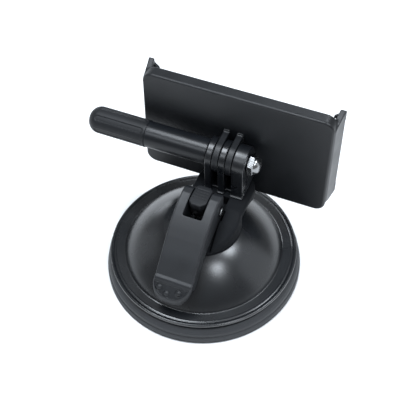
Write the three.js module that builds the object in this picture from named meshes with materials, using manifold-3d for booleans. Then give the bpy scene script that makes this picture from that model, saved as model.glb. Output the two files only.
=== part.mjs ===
import * as THREE from 'three';
import { mergeVertices } from 'three/addons/utils/BufferGeometryUtils.js';
import Module from 'manifold-3d';

// Lever-lock suction-cup mount with a tilting snap-in cradle.
// Millimetres, +Z up from the surface that the cup sticks to, origin at the cup's centre.
// +X runs along the hinge bolt towards its acorn nut, -Y is the side that the lever points to.

// ---- driving dimensions ----
const GAP = 0.3;                 // clearance between neighbouring pieces
const CUP_R = 45.0;              // rubber cup, outer radius
const RIM_R = 43.6;              // cover rim, outer radius
const RIM_TOP = 11.7;            // top of the rim bead
const CREASE_R = 36.5;           // where the flat ring meets the dome
const RING_Z = 11.3;             // flat ring height
const DOME_TOP = 28.0;           // flat seat for the hub
const HUB_R = 17.4;              // hub front radius and right flank
const HUB_LEFT = -9.2;           // hub left flank
const HUB_BACK = 26.2;           // hub rear face
const HUB_TOP = 39.5;
const SEAT_Z = 34.0;             // floor of the cam pocket
const PIN = [0, 41.1];           // lever pin, y and z
const PIN_R = 2.0;
const LEVER_HALF = 8.6;          // half width of the lever
const ARM_IN = 4.3;              // inner face of the lever's arms
const POCKET_RIGHT = 9.8;        // right wall of the cam pocket, clear of the pin's end cap
const HINGE = [18.5, 55.2];      // cradle hinge, y and z
const PRONG_R = 7.5;
const PITCH = 3.1;               // prong pitch
const PRONG_X0 = -3.6;           // left face of the first prong's pitch
const P4_RIGHT = 14.3;           // right face of the thick prong
const BOLT_R = 2.5;
const SHAFT_R = 5.9;             // handle shaft
const GRIP_R = 6.15;             // handle grip
const HANDLE_TIP = -61.6;
const GRIP_END = -33.0;
const HANDLE_FACE = -3.9;
const XC = 4.36;                 // middle of the cradle
const CRADLE_HALF = 43.25;
const CRADLE_BACK = 26.9;
const CRADLE_FRONT = 32.8;
const CRADLE_BOT = 27.0;
const CRADLE_TOP = 83.0;
const EAR_FRONT = 38.4;
const WALL = 2.2;

// ---- solids ----
const wasm = await Module();
wasm.setup();

function clean(geometry) {
  const g = geometry.index ? geometry.toNonIndexed() : geometry.clone();
  for (const name of Object.keys(g.attributes)) if (name !== 'position') g.deleteAttribute(name);
  const m = mergeVertices(g, 1e-4);
  const src = m.index.array;
  const tris = [];
  for (let i = 0; i < src.length; i += 3) {
    const a = src[i], b = src[i + 1], c = src[i + 2];
    if (a !== b && b !== c && c !== a) tris.push(a, b, c);
  }
  const p = m.attributes.position.array;
  let vol = 0;
  for (let i = 0; i < tris.length; i += 3) {
    const [a, b, c] = [tris[i] * 3, tris[i + 1] * 3, tris[i + 2] * 3];
    vol += p[a] * (p[b + 1] * p[c + 2] - p[b + 2] * p[c + 1])
         + p[a + 1] * (p[b + 2] * p[c] - p[b] * p[c + 2])
         + p[a + 2] * (p[b] * p[c + 1] - p[b + 1] * p[c]);
  }
  if (vol < 0) for (let i = 0; i < tris.length; i += 3) [tris[i + 1], tris[i + 2]] = [tris[i + 2], tris[i + 1]];
  return { positions: Float32Array.from(p), tris: Uint32Array.from(tris) };
}

function solid(geometry) {
  const { positions, tris } = clean(geometry);
  return new wasm.Manifold(new wasm.Mesh({ numProp: 3, vertProperties: positions, triVerts: tris }));
}

function toGeometry(manifold) {
  const m = manifold.getMesh();
  const n = m.numProp;
  const pos = new Float32Array((m.vertProperties.length / n) * 3);
  for (let i = 0; i < pos.length / 3; i++) for (let k = 0; k < 3; k++) pos[i * 3 + k] = m.vertProperties[i * n + k];
  const g = new THREE.BufferGeometry();
  g.setAttribute('position', new THREE.BufferAttribute(pos, 3));
  g.setIndex(new THREE.BufferAttribute(Uint32Array.from(m.triVerts), 1));
  g.computeVertexNormals();
  return g;
}

const basis = (x, y, z) => new THREE.Matrix4().makeBasis(new THREE.Vector3(...x), new THREE.Vector3(...y), new THREE.Vector3(...z));
const shapeOf = (pts) => new THREE.Shape(pts.map(([a, b]) => new THREE.Vector2(a, b)));

// closed profile of [radius, height] turned about Z
function lathe(profile, segments = 64) {
  const pts = profile.map(([r, z]) => new THREE.Vector2(Math.max(r, 0), z));
  const onAxis = profile[0][0] === 0 && profile[profile.length - 1][0] === 0;
  if (!onAxis) pts.push(pts[0].clone());
  const g = new THREE.LatheGeometry(pts, segments);
  g.applyMatrix4(new THREE.Matrix4().makeRotationX(Math.PI / 2));
  return g;
}
// the same about an X axis through (y, z); profile is [radius, x]
function latheX(profile, y, z, segments = 40) {
  const g = lathe(profile, segments);
  g.applyMatrix4(new THREE.Matrix4().makeRotationY(Math.PI / 2));
  g.translate(0, y, z);
  return g;
}
// the same about a Y axis through (x, z); profile is [radius, y]
function latheY(profile, x, z, segments = 12) {
  const g = lathe(profile, segments);
  g.applyMatrix4(new THREE.Matrix4().makeRotationX(-Math.PI / 2));
  g.translate(x, 0, z);
  return g;
}
const flat = { bevelEnabled: false, steps: 1, curveSegments: 9 };
// outline in (y, z) pushed along X from x0 to x1
function alongX(shape, x0, x1, opts = {}) {
  const g = new THREE.ExtrudeGeometry(shape, { ...flat, depth: x1 - x0, ...opts });
  g.applyMatrix4(basis([0, 1, 0], [0, 0, 1], [1, 0, 0]));
  g.translate(x0, 0, 0);
  return g;
}
// outline in (x, z) pushed along Y from y0 to y1
function alongY(shape, y0, y1) {
  const g = new THREE.ExtrudeGeometry(shape, { ...flat, depth: y1 - y0 });
  g.applyMatrix4(basis([1, 0, 0], [0, 0, 1], [0, -1, 0]));
  g.translate(0, y1, 0);
  return g;
}
function alongZ(shape, z0, z1) {
  const g = new THREE.ExtrudeGeometry(shape, { ...flat, depth: z1 - z0 });
  g.translate(0, 0, z0);
  return g;
}
function box(x0, x1, y0, y1, z0, z1) {
  const g = new THREE.BoxGeometry(x1 - x0, y1 - y0, z1 - z0);
  g.translate((x0 + x1) / 2, (y0 + y1) / 2, (z0 + z1) / 2);
  return g;
}
function rodX(r, x0, x1, y, z, segments = 24) { return latheX([[0, x0], [r, x0], [r, x1], [0, x1]], y, z, segments); }
function rodZ(r, z0, z1, x, y, segments = 20) {
  const g = lathe([[0, z0], [r, z0], [r, z1], [0, z1]], segments);
  g.translate(x, y, 0);
  return g;
}
function roundRect(x0, x1, z0, z1, r) {
  const s = new THREE.Shape();
  s.moveTo(x0 + r, z0); s.lineTo(x1 - r, z0); s.absarc(x1 - r, z0 + r, r, -Math.PI / 2, 0, false);
  s.lineTo(x1, z1 - r); s.absarc(x1 - r, z1 - r, r, 0, Math.PI / 2, false);
  s.lineTo(x0 + r, z1); s.absarc(x0 + r, z1 - r, r, Math.PI / 2, Math.PI, false);
  s.lineTo(x0, z0 + r); s.absarc(x0 + r, z0 + r, r, Math.PI, 1.5 * Math.PI, false);
  return s;
}
// coil of round wire about the line from a to b
function coil(a, b, radius, wire, turns, steps) {
  const A = new THREE.Vector3(...a), B = new THREE.Vector3(...b);
  const d = B.clone().sub(A), len = d.length();
  d.normalize();
  const u = Math.abs(d.z) > 0.9 ? new THREE.Vector3(1, 0, 0) : new THREE.Vector3(0, 0, 1);
  const v = d.clone().cross(u).normalize();
  const w = v.clone().cross(d).normalize();
  const pts = [];
  const n = Math.round(turns * 8);
  for (let i = 0; i <= n; i++) {
    const t = i / n, ang = t * turns * 2 * Math.PI;
    pts.push(A.clone().addScaledVector(d, wire + t * (len - 2 * wire))
      .addScaledVector(v, radius * Math.sin(ang)).addScaledVector(w, radius * Math.cos(ang)));
  }
  const section = new THREE.Shape();
  section.absarc(0, 0, wire, 0, 2 * Math.PI, false);
  return new THREE.ExtrudeGeometry(section, { steps, curveSegments: 3, bevelEnabled: false, extrudePath: new THREE.CatmullRomCurve3(pts) });
}

// ---- materials ----
const mat = (color, roughness, metalness = 0) => new THREE.MeshStandardMaterial({ color, roughness, metalness });
const rubber = mat(0x1b1b1c, 0.7);
const softRubber = mat(0x202022, 0.85);
const gloss = mat(0x161718, 0.22);
const satin = mat(0x1c1d1f, 0.42);
const cradleBlack = mat(0x1a1b1d, 0.45);
const leverBlack = mat(0x232427, 0.4);
const handleBlack = mat(0x1b1c1e, 0.34);
const steel = mat(0xc9ccd0, 0.22, 1);
const zinc = mat(0x9a9ca0, 0.4, 1);

const group = new THREE.Group();
group.name = 'suction_mount';
function add(name, geometryOrManifold, material) {
  const g = geometryOrManifold.getMesh ? toGeometry(geometryOrManifold) : toGeometry(solid(geometryOrManifold));
  const mesh = new THREE.Mesh(g, material);
  mesh.name = name;
  group.add(mesh);
}

// ---- suction base ----
add('cup_skirt', lathe([[33, 1.4], [36, 0.8], [39.5, 0], [CUP_R - 0.3, 0], [CUP_R, 0.5], [CUP_R, 1.9], [44.7, 3.7], [44.15, 4.0],
  [44.15, 4.4], [44.4, 4.7], [43.9, 6.9], [43.4, 7.2], [40.6, 7.2], [40.3, 4.1], [33, 3.7]], 52), rubber);

add('cup_diaphragm', lathe([[32.7, 1.6], [32.7, 3.6], [27, 4.3], [19, 6.9], [13.7, 8.6], [13.7, 6.6], [19, 4.9], [27, 2.4]], 40), softRubber);

add('clamp_ring', lathe([[34.2, 4.3], [40.0, 4.5], [40.2, 7.3], [36.4, 7.3], [34.2, 6.6]], 44), satin);

function domeCurve(r0, z0, r1, z1, c1, c2, n) {
  const curve = new THREE.CubicBezierCurve(new THREE.Vector2(r0, z0), new THREE.Vector2(...c1), new THREE.Vector2(...c2), new THREE.Vector2(r1, z1));
  return curve.getPoints(n).map((p) => [p.x, p.y]);
}
const domeOuter = domeCurve(CREASE_R - 0.3, RING_Z + 0.1, 17.2, DOME_TOP, [33.0, 16.0], [26.0, 23.8], 6);
const domeInner = domeCurve(34.0, 9.6, 16.8, DOME_TOP - 2.2, [31.2, 14.0], [24.8, 21.4], 4).reverse();
let cover = solid(lathe([...domeOuter, [9.3, DOME_TOP], [9.3, DOME_TOP - 2.2], ...domeInner, [34.2, 7.6], [43.0, 7.6], [43.4, 7.9], [RIM_R, 8.5],
  [RIM_R, 10.6], [43.4, 11.3], [42.9, RIM_TOP], [42.4, 11.6], [42.1, RING_Z], [CREASE_R, RING_Z]], 56));
const coverScrews = [[12.9, 2.6], [-5.6, 12.2], [9.9, -8.8], [4.6, 12.6]];
for (const [x, y] of coverScrews) cover = cover.subtract(solid(rodZ(1.3, DOME_TOP - 4, DOME_TOP + 2, x, y, 12)));
add('dome_cover', cover, gloss);
coverScrews.forEach(([x, y], i) => {
  const g = lathe([[0, DOME_TOP - 4.4], [2.3, DOME_TOP - 4.4], [2.3, DOME_TOP - 2.5], [1.0, DOME_TOP - 2.5], [1.0, 30.6], [0, 30.6]], 12);
  g.translate(x, y, 0);
  add(`cover_screw_${i + 1}`, g, zinc);
});

// ---- hub housing ----
const hubPlan = new THREE.Shape();
const cornerR = 8.5;
hubPlan.moveTo(HUB_R, 0);
hubPlan.lineTo(HUB_R, HUB_BACK - cornerR);
hubPlan.absarc(HUB_R - cornerR, HUB_BACK - cornerR, cornerR, 0, Math.PI / 2, false);
hubPlan.lineTo(HUB_LEFT + cornerR, HUB_BACK);
hubPlan.absarc(HUB_LEFT + cornerR, HUB_BACK - cornerR, cornerR, Math.PI / 2, Math.PI, false);
const leftHit = Math.acos(HUB_LEFT / HUB_R);
hubPlan.lineTo(HUB_LEFT, -HUB_R * Math.sin(leftHit));
hubPlan.absarc(0, 0, HUB_R, -leftHit, 0, false);
let hub = solid(alongZ(hubPlan, DOME_TOP + GAP, HUB_TOP));
const slope = [[4, HUB_TOP], [0, 38.4], [-5, 36.0], [-11, 32.7], [-18.5, 28.9]];
hub = hub.intersect(solid(alongX(shapeOf([[-18.5, 28], [27, 28], [27, HUB_TOP], ...slope]), -20, 20)));
// chamfer along the right flank's top edge
hub = hub.subtract(solid(alongY(shapeOf([[15.4, 40.5], [19, 40.5], [19, 36.6]]), -20, 30)));
// arched underside where the right flank runs back beyond the round drum
let undercut = solid(alongX(shapeOf([[1, 27], [1, 38.0], [5, 37.9], [9, 37.1], [13, 35.6], [17.7, 33.0], [22, 30.0], [27, 26.5]]), 15.2, 20));
undercut = undercut.subtract(solid(rodZ(HUB_R, 20, 45, 0, 0, 96)));
hub = hub.subtract(undercut);
// cam pocket, open to the left flank
hub = hub.subtract(solid(alongX(shapeOf([[-19, 27], [-5.5, SEAT_Z], [9.8, SEAT_Z], [9.8, 41], [-19, 41]]), HUB_LEFT - 2, POCKET_RIGHT)));
// stud bore, spring well and screw holes
hub = hub.subtract(solid(rodZ(3.3, 20, 40, 0, 0, 20)));
hub = hub.subtract(solid(rodZ(8.9, 20, 31.4, 0, 0, 28)));
for (const [x, y] of coverScrews) hub = hub.subtract(solid(rodZ(1.3, 20, 31.0, x, y, 12)));
const blockScrews = [[11.6, 14.6], [11.6, 22.2]];
for (const [x, y] of blockScrews) {
  hub = hub.subtract(solid(rodZ(1.5, 20, 45, x, y, 12)));
  hub = hub.subtract(solid(rodZ(2.9, 20, 34.0, x, y, 20)));
}
add('hub_housing', hub, satin);

// ---- three-prong hinge block ----
const [HY, HZ] = HINGE;
function prongShape(bottom, radius) {
  const s = new THREE.Shape();
  s.moveTo(HY - radius, bottom); s.lineTo(HY + radius, bottom); s.lineTo(HY + radius, HZ);
  s.absarc(HY, HZ, radius, 0, Math.PI, false);
  return s;
}
const half = (PITCH - GAP) / 2;
const centre = (k) => PRONG_X0 + PITCH * (k + 0.5);
const blockBottom = HUB_TOP + GAP;
let block = solid(box(centre(0) - half, P4_RIGHT, HY - PRONG_R, HY + PRONG_R, blockBottom, blockBottom + 1.6));
for (const k of [0, 2]) block = block.add(solid(alongX(prongShape(blockBottom, PRONG_R), centre(k) - half, centre(k) + half)));
block = block.add(solid(alongX(prongShape(blockBottom, PRONG_R), centre(4) - half, P4_RIGHT)));
block = block.subtract(solid(rodX(BOLT_R + GAP, -10, 30, HY, HZ, 22)));
for (const [x, y] of blockScrews) block = block.subtract(solid(rodZ(1.25, 30, 48.2, x, y, 12)));
add('prong_block', block, satin);
blockScrews.forEach(([x, y], i) => {
  const g = lathe([[0, 31.6], [2.5, 31.6], [2.5, 33.7], [0.95, 33.7], [0.95, 47.9], [0, 47.9]], 12);
  g.translate(x, y, 0);
  add(`block_screw_${i + 1}`, g, zinc);
});

// ---- plunger ----
add('plunger_plate', lathe([[0, 6.6], [13.4, 6.6], [13.4, 8.6], [6.0, 9.4], [5.4, 12.4], [3.3, 12.4], [3.3, 9.4], [0, 9.4]], 28), satin);
let stud = solid(lathe([[0, 9.7], [3.0, 9.7], [3.0, 38.0], [0, 38.0]], 28));
const eyeBlank = new THREE.Shape();
eyeBlank.absarc(PIN[0], PIN[1], 4.3, 0, 2 * Math.PI, false);
stud = stud.add(solid(alongX(eyeBlank, -3.9, 3.9)));
stud = stud.subtract(solid(rodX(PIN_R + GAP, -6, 6, PIN[0], PIN[1], 24)));
add('plunger_stud', stud, zinc);
add('return_spring', coil([0, 0, 9.8], [0, 0, 31.1], 7.6, 0.6, 5, 50), zinc);

// ---- cam lever ----
const [PY, PZ] = PIN;
const polar = (deg, r) => [PY + r * Math.cos(deg * Math.PI / 180), PZ + r * Math.sin(deg * Math.PI / 180)];
const leverProfile = [
  polar(-90, 6.55), polar(-75, 5.95), polar(-60, 5.4), polar(-45, 4.85), polar(-30, 4.3), polar(-12, 3.7), polar(8, 3.8), polar(26, 4.4), polar(44, 5.6), polar(58, 7.2),
  [3.2, 48.6], [1.6, 49.5], [-1.5, 49.7], [-7, 48.2], [-13.8, 44.9], [-19.3, 40.4], [-25, 35.5], [-29.4, 31.0], [-31.2, 29.0],
  [-32.0, 28.9], [-32.7, 28.5], [-33.2, 27.7], [-36.2, 24.0], [-38.3, 21.3], [-38.8, 19.9], [-38.5, 18.2], [-37.4, 17.4],
  [-35.6, 20.4], [-33.5, 23.6], [-32.4, 24.2], [-30.8, 22.3], [-29.7, 21.7], [-25.7, 24.4], [-22.7, 27.2], [-16.9, 31.4], [-10, 33.5], [-5, 34.4],
];
let lever = solid(alongX(shapeOf(leverProfile), -LEVER_HALF, LEVER_HALF));
// hollow between the cheeks, under a plate that follows the top
lever = lever.subtract(solid(alongX(shapeOf([[-12.9, 42.6], [-18.2, 38.5], [-23.4, 33.9], [-28.6, 28.9], [-30.6, 26.4], [-31.0, 20.0], [-31, 10], [-12.9, 25]]), -LEVER_HALF + 2.0, LEVER_HALF - 2.0)));
// window for the lock button, between the arms
lever = lever.subtract(solid(box(-ARM_IN, ARM_IN, -11.1, 12, 30, 55)));
// thumb pad: rounded in plan
const padCut = new THREE.Shape();
padCut.moveTo(-20, -28); padCut.lineTo(-LEVER_HALF, -28); padCut.lineTo(-8.9, -32.4); padCut.lineTo(-8.3, -35.6);
padCut.bezierCurveTo(-7.2, -37.9, -3.6, -38.85, 0, -38.85); padCut.bezierCurveTo(3.6, -38.85, 7.2, -37.9, 8.3, -35.6);
padCut.lineTo(8.9, -32.4); padCut.lineTo(LEVER_HALF, -28); padCut.lineTo(20, -28); padCut.lineTo(20, -60); padCut.lineTo(-20, -60);
lever = lever.subtract(solid(alongZ(padCut, 5, 50)));
lever = lever.subtract(solid(rodX(PIN_R + GAP, -12, 12, PY, PZ, 24)));
// three thumb bumps on the pad
for (const [x, y, z] of [[-5.6, -35.5, 24.4], [-1.4, -36.9, 22.7], [3.8, -35.5, 24.4]]) {
  const g = new THREE.SphereGeometry(1.1, 10, 6);
  g.translate(x, y, z);
  lever = lever.add(solid(g));
}
add('cam_lever', lever, leverBlack);
add('lever_pin', rodX(PIN_R, -8.7, 8.7, PY, PZ, 24), steel);
for (const [name, x0, x1] of [['pin_cap_left', -9.5, -9.0], ['pin_cap_right', 9.0, 9.5]]) {
  add(name, latheX(x0 < 0 ? [[0, x0], [1.4, x0], [PIN_R, x1], [0, x1]] : [[0, x0], [PIN_R, x0], [1.4, x1], [0, x1]], PY, PZ, 20), steel);
}

// ---- lock button ----
const btn = new THREE.Shape();
const bx = ARM_IN - 0.4, by0 = -6.4, by1 = 4.6, bc = 2.2;
btn.moveTo(-bx + bc, by0); btn.lineTo(bx - bc, by0); btn.lineTo(bx, by0 + bc); btn.lineTo(bx, by1 - 1.4); btn.lineTo(bx - 1.4, by1);
btn.lineTo(-bx + 1.4, by1); btn.lineTo(-bx, by1 - 1.4); btn.lineTo(-bx, by0 + bc);
let button = solid(alongZ(btn, 45.9, 49.5));
button = button.add(solid(box(-2.6, 2.6, -6.2, -4.9, 43.4, 46.2)));
add('lock_button', button, leverBlack);
add('button_spring', coil([0, -10.4, 44.5], [0, -6.5, 44.5], 0.8, 0.22, 3, 26), zinc);

// ---- clamp bolt, handle and acorn nut ----
add('clamp_bolt', rodX(BOLT_R, -21.7, 17.6, HY, HZ, 22), zinc);
const tip = [];
for (let i = 0; i <= 6; i++) {
  const a = (i / 6) * Math.PI / 2;
  tip.push([GRIP_R * Math.sin(a), HANDLE_TIP + GRIP_R * (1 - Math.cos(a))]);
}
tip[0][0] = 0;
let handle = solid(latheX([...tip, [GRIP_R, GRIP_END - 0.4], [SHAFT_R, GRIP_END], [SHAFT_R, HANDLE_FACE], [BOLT_R + GAP, HANDLE_FACE],
  [BOLT_R + GAP, -22.0], [0, -22.0]], HY, HZ, 32));
add('thumb_handle', handle, handleBlack);
const hex = new THREE.Shape();
for (let i = 0; i < 6; i++) {
  const a = Math.PI / 6 + i * Math.PI / 3;
  const q = [HY + 4.85 * Math.cos(a), HZ + 4.85 * Math.sin(a)];
  if (i === 0) hex.moveTo(...q); else hex.lineTo(...q);
}
let nut = solid(alongX(hex, P4_RIGHT + GAP, 17.3));
const nutDome = [];
for (let i = 0; i <= 6; i++) {
  const a = (i / 6) * Math.PI / 2;
  nutDome.push([3.95 * Math.cos(a), 17.1 + 2.9 * Math.sin(a)]);
}
nutDome[6][0] = 0;
nut = nut.add(solid(latheX([[0, 15], [3.95, 15], ...nutDome], HY, HZ, 22)));
nut = nut.subtract(solid(rodX(BOLT_R + GAP, 10, 17.9, HY, HZ, 22)));
add('acorn_nut', nut, steel);

// ---- cradle ----
const L = XC - CRADLE_HALF, R = XC + CRADLE_HALF;
let bracket = solid(box(XC - 13, XC + 13, CRADLE_BACK + WALL + GAP, CRADLE_BACK + WALL + GAP + 1.8, 43, 67.4));
for (const k of [1, 3]) {
  const s = new THREE.Shape();
  s.moveTo(HY, HZ - PRONG_R); s.lineTo(CRADLE_BACK + WALL + 1, HZ - PRONG_R); s.lineTo(CRADLE_BACK + WALL + 1, HZ + PRONG_R); s.lineTo(HY, HZ + PRONG_R);
  s.absarc(HY, HZ, PRONG_R, Math.PI / 2, 1.5 * Math.PI, false);
  bracket = bracket.add(solid(alongX(s, centre(k) - half, centre(k) + half)));
}
bracket = bracket.subtract(solid(rodX(BOLT_R + GAP, -10, 30, HY, HZ, 22)));
const bracketScrews = [[XC - 10, 46.5], [XC + 10, 46.5], [XC - 10, 63.9], [XC + 10, 63.9]];
for (const [x, z] of bracketScrews) bracket = bracket.subtract(solid(latheY([[0, 20], [1.3, 20], [1.3, 40], [0, 40]], x, z)));
add('cradle_bracket', bracket, cradleBlack);

let shell = solid(alongY(roundRect(L, R, CRADLE_BOT, CRADLE_TOP, 5), CRADLE_BACK, CRADLE_FRONT));
const ear = shapeOf([[CRADLE_BACK, 33], [CRADLE_BACK, 77.6], [29.4, 79.4], [EAR_FRONT - 0.6, 82.0], [EAR_FRONT, 81.4], [EAR_FRONT, 31.2], [EAR_FRONT - 1.0, 30.6], [31, 31.0]]);
const flare = 0.14;
for (const side of [-1, 1]) {
  const g = alongX(ear, 0, 2.6);
  const m = new THREE.Matrix4().set(side, side * flare, 0, side > 0 ? R - 2.6 - flare * CRADLE_BACK : L + 2.6 + flare * CRADLE_BACK, 0, 1, 0, 0, 0, 0, 1, 0, 0, 0, 0, 1);
  g.applyMatrix4(m);
  shell = shell.add(solid(g));
  // hooks that curl in at both ends of the ear
  for (const [z0, z1] of [[76.5, 81.7], [31.0, 36.2]]) {
    const xo = side > 0 ? R + 0.6 : L - 0.6;
    const xi = xo - side * 4.6;
    const drop = z0 > 60 ? 3.6 : 0;        // the upper hooks fall away towards their tips
    const hook = side > 0 ? [[xi, z0], [xo, z0], [xo, z1], [xi, z1 - drop]] : [[xo, z0], [xi, z0], [xi, z1 - drop], [xo, z1]];
    shell = shell.add(solid(alongY(shapeOf(hook), EAR_FRONT - 1.5, EAR_FRONT)));
  }
}
shell = shell.subtract(solid(alongY(roundRect(L + WALL + 0.4, R - WALL - 0.4, CRADLE_BOT + WALL, CRADLE_TOP - WALL, 3), CRADLE_BACK + WALL, CRADLE_FRONT + 0.001)));
shell = shell.subtract(solid(box(L + WALL + 0.7, R - WALL - 0.7, CRADLE_FRONT - 0.2, CRADLE_FRONT + 4, CRADLE_BOT + WALL + 1, CRADLE_TOP - WALL - 1)));
for (const k of [1, 3]) {
  shell = shell.subtract(solid(box(centre(k) - half - GAP, centre(k) + half + GAP, CRADLE_BACK - 2, CRADLE_BACK + WALL + 2, HZ - PRONG_R - GAP, HZ + PRONG_R + GAP)));
}
for (const [x, z] of bracketScrews) shell = shell.subtract(solid(latheY([[0, CRADLE_BACK + 0.7], [1.3, CRADLE_BACK + 0.7], [1.3, 40], [0, 40]], x, z)));
add('cradle_shell', shell, cradleBlack);
bracketScrews.forEach(([x, z], i) => {
  add(`bracket_screw_${i + 1}`, latheY([[0, CRADLE_BACK + 1.0], [1.0, CRADLE_BACK + 1.0], [1.0, 31.5], [2.2, 31.5], [2.2, 32.6], [0, 32.6]], x, z), zinc);
});
for (const [name, z0, z1] of [['pad_lower', 32.5, 40.5], ['pad_upper', 69.6, 77.6]]) {
  add(name, alongY(roundRect(XC - 36, XC + 36, z0, z1, 1.5), CRADLE_BACK + WALL + GAP, CRADLE_FRONT + 0.4), softRubber);
}

export default group;
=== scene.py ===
import math

import bmesh
import bpy
import numpy as np
from mathutils import Matrix, Vector


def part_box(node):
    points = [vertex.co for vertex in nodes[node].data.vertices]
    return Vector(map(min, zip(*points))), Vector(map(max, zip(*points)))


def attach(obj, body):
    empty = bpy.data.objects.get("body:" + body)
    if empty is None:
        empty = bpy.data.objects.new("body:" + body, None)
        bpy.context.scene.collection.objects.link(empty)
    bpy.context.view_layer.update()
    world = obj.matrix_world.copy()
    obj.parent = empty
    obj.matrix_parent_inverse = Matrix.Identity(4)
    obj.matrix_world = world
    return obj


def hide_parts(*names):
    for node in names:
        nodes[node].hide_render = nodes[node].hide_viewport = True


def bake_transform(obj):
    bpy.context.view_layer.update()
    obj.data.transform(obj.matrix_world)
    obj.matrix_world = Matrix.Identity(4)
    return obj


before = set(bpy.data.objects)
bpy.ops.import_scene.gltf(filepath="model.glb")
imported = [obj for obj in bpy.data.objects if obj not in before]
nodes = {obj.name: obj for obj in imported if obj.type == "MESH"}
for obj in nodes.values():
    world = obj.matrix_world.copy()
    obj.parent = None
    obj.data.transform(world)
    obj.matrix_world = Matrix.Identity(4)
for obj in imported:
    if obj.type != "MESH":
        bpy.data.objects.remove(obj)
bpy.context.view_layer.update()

# Suction-cup mount with a cam lever, a thumb-screw hinge and a cradle.
# The camera's place, fields, profiles and springs are in millimetres in the CAD's frame; the ends of the
# blends, the floor and the lights are in metres.
MM = 0.001


def corner(node, low=True):
    """A corner of a CAD node's box at rest, in millimetres."""
    lo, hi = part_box(node)
    return np.array(lo if low else hi) / MM


# ------------------------------------------------------------------ camera
TARGET = Vector((0.0, 0.0, 20.0))
AZIMUTH, ELEVATION, ROLL = math.radians(23.518), math.radians(51.999), math.radians(-1.454)
DISTANCE, LENS, SENSOR = 391.291, 74.6392, 36.0
SIDEWAYS, RAISED = 2.2008, 12.0087      # how far the camera is shifted in its own plane, without turning

back = Vector((math.sin(AZIMUTH) * math.cos(ELEVATION),
               -math.cos(AZIMUTH) * math.cos(ELEVATION),
               math.sin(ELEVATION)))
level = Vector((math.cos(AZIMUTH), math.sin(AZIMUTH), 0.0))
upward = back.cross(level)
right = level * math.cos(ROLL) + upward * math.sin(ROLL)
up = upward * math.cos(ROLL) - level * math.sin(ROLL)
eye = TARGET + back * DISTANCE + right * SIDEWAYS + up * RAISED

camera = bpy.data.objects.new("camera", bpy.data.cameras.new("camera"))
bpy.context.scene.collection.objects.link(camera)
camera.data.sensor_width = SENSOR
camera.data.lens = LENS
camera.data.clip_start, camera.data.clip_end = 0.01, 20.0       # metres
turn = Matrix((right, up, back)).transposed()
camera.matrix_world = Matrix.Translation(eye * MM) @ turn.to_4x4()
bpy.context.scene.camera = camera


# ------------------------------------------------------------------ distance fields
def rmax(a, b, r):
    """Intersection of two solids with a convex edge of radius r."""
    return np.minimum(-r, np.maximum(a, b)) + np.hypot(np.maximum(a + r, 0), np.maximum(b + r, 0))


def rmin(a, b, r):
    """Union of two solids with a concave fillet of radius r."""
    return np.maximum(r, np.minimum(a, b)) - np.hypot(np.maximum(r - a, 0), np.maximum(r - b, 0))


def soften(points, radius, steps=6):
    """A closed outline with its corners rounded; a point's third number overrides the radius."""
    out, n = [], len(points)
    for i, p in enumerate(points):
        r = p[2] if len(p) > 2 else radius
        a, b, c = (Vector(points[j % n][:2]) for j in (i - 1, i, i + 1))
        u, v = a - b, c - b
        lu, lv = u.length, v.length
        u, v = u / lu, v / lv
        angle = math.acos(max(-1.0, min(1.0, u.dot(v))))
        if r <= 0 or angle > math.pi - 0.03:
            out.append((b.x, b.y))
            continue
        t = min(r / math.tan(angle / 2), lu * 0.48, lv * 0.48)
        p0, p1 = b + u * t, b + v * t
        for s in range(steps + 1):
            q = s / steps
            m = p0 * (1 - q) ** 2 + b * (2 * q * (1 - q)) + p1 * q * q
            out.append((m.x, m.y))
    return out


def poly(a, b, pts):
    """Signed distance from (a, b) to a closed polygon."""
    best, inside = None, None
    n = len(pts)
    for i in range(n):
        (px, py), (qx, qy) = pts[i], pts[(i + 1) % n]
        ex, ey = qx - px, qy - py
        size = ex * ex + ey * ey
        if size < 1e-12:
            continue
        wx, wy = a - px, b - py
        t = np.clip((wx * ex + wy * ey) / size, 0, 1)
        d = (wx - ex * t) ** 2 + (wy - ey * t) ** 2
        best = d if best is None else np.minimum(best, d)
        if abs(ey) > 1e-12:
            over = ((b >= min(py, qy)) & (b < max(py, qy))) & (a < px + (b - py) / ey * ex)
            inside = over if inside is None else inside ^ over
    return np.sqrt(best) * np.where(inside, -1.0, 1.0)


def box3(X, Y, Z, x0, x1, y0, y1, z0, z1, r=0.0):
    """Signed distance to a block with its edges rounded to r."""
    spans = ((X, x0, x1), (Y, y0, y1), (Z, z0, z1))
    q = [np.abs(v - (lo + hi) / 2) - (hi - lo) / 2 + r for v, lo, hi in spans]
    out = np.sqrt(sum(np.maximum(v, 0) ** 2 for v in q))
    return out + np.minimum(np.maximum(np.maximum(q[0], q[1]), q[2]), 0) - r


def box2(A, B, a0, a1, b0, b1, r=0.0):
    """Signed distance to a bar of rounded rectangular section, endless along the third axis."""
    p = np.abs(A - (a0 + a1) / 2) - (a1 - a0) / 2 + r
    q = np.abs(B - (b0 + b1) / 2) - (b1 - b0) / 2 + r
    return np.hypot(np.maximum(p, 0), np.maximum(q, 0)) + np.minimum(np.maximum(p, q), 0) - r


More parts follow.
